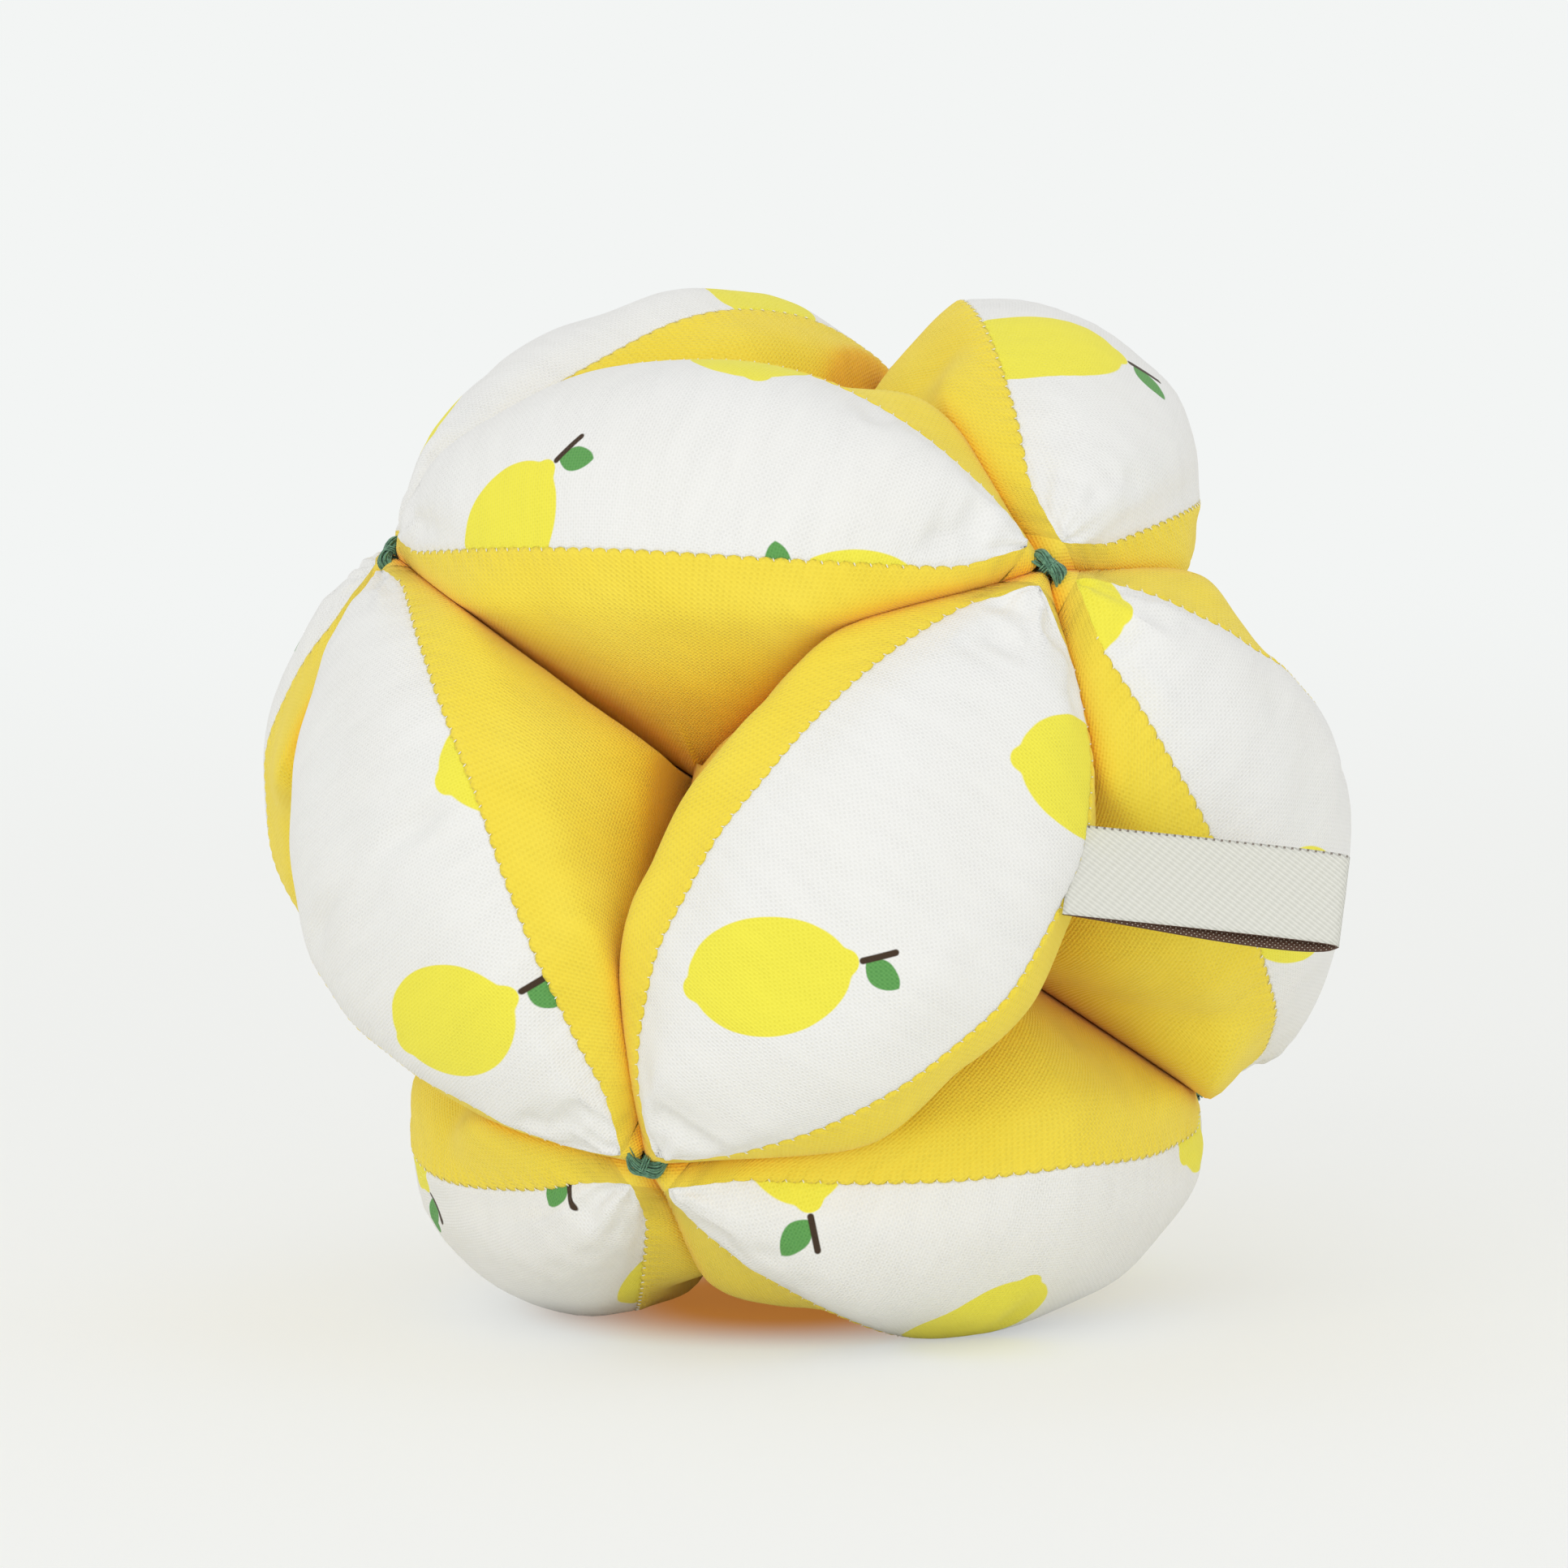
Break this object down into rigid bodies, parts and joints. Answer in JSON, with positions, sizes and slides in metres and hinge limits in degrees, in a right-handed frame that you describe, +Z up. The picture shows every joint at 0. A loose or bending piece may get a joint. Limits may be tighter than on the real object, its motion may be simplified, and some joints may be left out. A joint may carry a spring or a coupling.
{
  "type": "grasping ball",
  "caption": "Stuffed cloth puzzle ball of wedges tied at their tips, with three-sided finger pits between them and a folded ribbon label.",
  "frame": {"origin": "under the middle of the part, on the floor it stands on", "axes": "+Z up, out of the top pit; -Y towards the side with the label, and +X to the right of it"},
  "size_m": [0.118, 0.1178, 0.1091],
  "materials": {
    "printed_cotton": "white plain-weave cotton with a scattered yellow fruit print",
    "plain_cotton": "plain-weave yellow cotton",
    "filling": "loose polyester fibre",
    "floss": "stranded green embroidery floss with a slight sheen",
    "ribbon": "cream woven satin ribbon with a dark brown reverse"
  },
  "bodies": {
    "ties": {"right_tie": "floss", "left_tie": "floss", "front_tie": "floss", "lower_left_tie": "floss", "lower_right_tie": "floss", "back_tie": "floss"},
    "upper_front_wedge": {"upper_front_cover": "printed_cotton", "upper_front_side_a": "plain_cotton", "upper_front_side_b": "plain_cotton", "upper_front_filling": "filling"},
    "upper_left_wedge": {"upper_left_cover": "printed_cotton", "upper_left_side_a": "plain_cotton", "upper_left_side_b": "plain_cotton", "upper_left_filling": "filling"},
    "upper_right_wedge": {"upper_right_cover": "printed_cotton", "upper_right_side_a": "plain_cotton", "upper_right_side_b": "plain_cotton", "upper_right_filling": "filling"},
    "front_wedge": {"front_cover": "printed_cotton", "front_side_a": "plain_cotton", "front_side_b": "plain_cotton", "front_filling": "filling"},
    "front_left_wedge": {"front_left_cover": "printed_cotton", "front_left_side_a": "plain_cotton", "front_left_side_b": "plain_cotton", "front_left_filling": "filling"},
    "front_right_wedge": {"front_right_cover": "printed_cotton", "front_right_side_a": "plain_cotton", "front_right_side_b": "plain_cotton", "front_right_filling": "filling"},
    "rear_left_wedge": {"rear_left_cover": "printed_cotton", "rear_left_side_a": "plain_cotton", "rear_left_side_b": "plain_cotton", "rear_left_filling": "filling"},
    "rear_right_wedge": {"rear_right_cover": "printed_cotton", "rear_right_side_a": "plain_cotton", "rear_right_side_b": "plain_cotton", "rear_right_filling": "filling"},
    "rear_wedge": {"rear_cover": "printed_cotton", "rear_side_a": "plain_cotton", "rear_side_b": "plain_cotton", "rear_filling": "filling"},
    "under_right_wedge": {"under_right_cover": "printed_cotton", "under_right_side_a": "plain_cotton", "under_right_side_b": "plain_cotton", "under_right_filling": "filling"},
    "under_left_wedge": {"under_left_cover": "printed_cotton", "under_left_side_a": "plain_cotton", "under_left_side_b": "plain_cotton", "under_left_filling": "filling"},
    "under_rear_wedge": {"under_rear_cover": "printed_cotton", "under_rear_side_a": "plain_cotton", "under_rear_side_b": "plain_cotton", "under_rear_filling": "filling"},
    "label": {"label": "ribbon"}
  },
  "joints": [
    {"name": "upper_front_rock", "type": "hinge", "parent": "ties", "child": "upper_front_wedge", "pos_m": [-0.00882, -0.02121, 0.08327], "axis": [0.9205, -0.3907, 0], "range_deg": [-3, 3], "stiffness_Nm_per_rad": 0.4},
    {"name": "upper_left_rock", "type": "hinge", "parent": "ties", "child": "upper_left_wedge", "pos_m": [-0.01338, 0.01598, 0.08327], "axis": [0.7986, 0.6018, 0], "range_deg": [-3, 3], "stiffness_Nm_per_rad": 0.4},
    {"name": "upper_right_rock", "type": "hinge", "parent": "ties", "child": "upper_right_wedge", "pos_m": [0.02111, 0.00134, 0.08327], "axis": [-0.1219, 0.9925, 0], "range_deg": [-3, 3], "stiffness_Nm_per_rad": 0.4},
    {"name": "front_rock", "type": "hinge", "parent": "ties", "child": "front_wedge", "pos_m": [0.00421, -0.03849, 0.05267], "axis": [-0.573, -0.0704, -0.8165], "range_deg": [-3, 3], "stiffness_Nm_per_rad": 0.4},
    {"name": "front_left_rock", "type": "hinge", "parent": "ties", "child": "front_left_wedge", "pos_m": [-0.03029, -0.02385, 0.05267], "axis": [0.3475, -0.4611, -0.8165], "range_deg": [-3, 3], "stiffness_Nm_per_rad": 0.4},
    {"name": "front_right_rock", "type": "hinge", "parent": "ties", "child": "front_right_wedge", "pos_m": [0.03414, -0.01594, 0.05267], "axis": [0.2256, 0.5315, -0.8165], "range_deg": [-3, 3], "stiffness_Nm_per_rad": 0.4},
    {"name": "rear_left_rock", "type": "hinge", "parent": "ties", "child": "rear_left_wedge", "pos_m": [-0.03486, 0.01335, 0.05267], "axis": [0.2256, 0.5315, -0.8165], "range_deg": [-3, 3], "stiffness_Nm_per_rad": 0.4},
    {"name": "rear_right_rock", "type": "hinge", "parent": "ties", "child": "rear_right_wedge", "pos_m": [0.02957, 0.02126, 0.05267], "axis": [0.3475, -0.4611, -0.8165], "range_deg": [-3, 3], "stiffness_Nm_per_rad": 0.4},
    {"name": "rear_rock", "type": "hinge", "parent": "ties", "child": "rear_wedge", "pos_m": [-0.00493, 0.0359, 0.05267], "axis": [-0.573, -0.0704, -0.8165], "range_deg": [-3, 3], "stiffness_Nm_per_rad": 0.4},
    {"name": "under_right_rock", "type": "hinge", "parent": "ties", "child": "under_right_wedge", "pos_m": [0.01266, -0.01858, 0.02207], "axis": [0.7986, 0.6018, 0], "range_deg": [-3, 3], "stiffness_Nm_per_rad": 0.4},
    {"name": "under_left_rock", "type": "hinge", "parent": "ties", "child": "under_left_wedge", "pos_m": [-0.02184, -0.00393, 0.02207], "axis": [-0.1219, 0.9925, 0], "range_deg": [-3, 3], "stiffness_Nm_per_rad": 0.4},
    {"name": "under_rear_rock", "type": "hinge", "parent": "ties", "child": "under_rear_wedge", "pos_m": [0.00809, 0.01862, 0.02207], "axis": [-0.9205, 0.3907, 0], "range_deg": [-3, 3], "stiffness_Nm_per_rad": 0.4},
    {"name": "label_flap", "type": "hinge", "parent": "front_wedge", "child": "label", "pos_m": [0.02861, -0.04888, 0.05307], "axis": [-0.1954, -0.4501, -0.8713], "range_deg": [-12, 25], "stiffness_Nm_per_rad": 0.002}
  ]
}
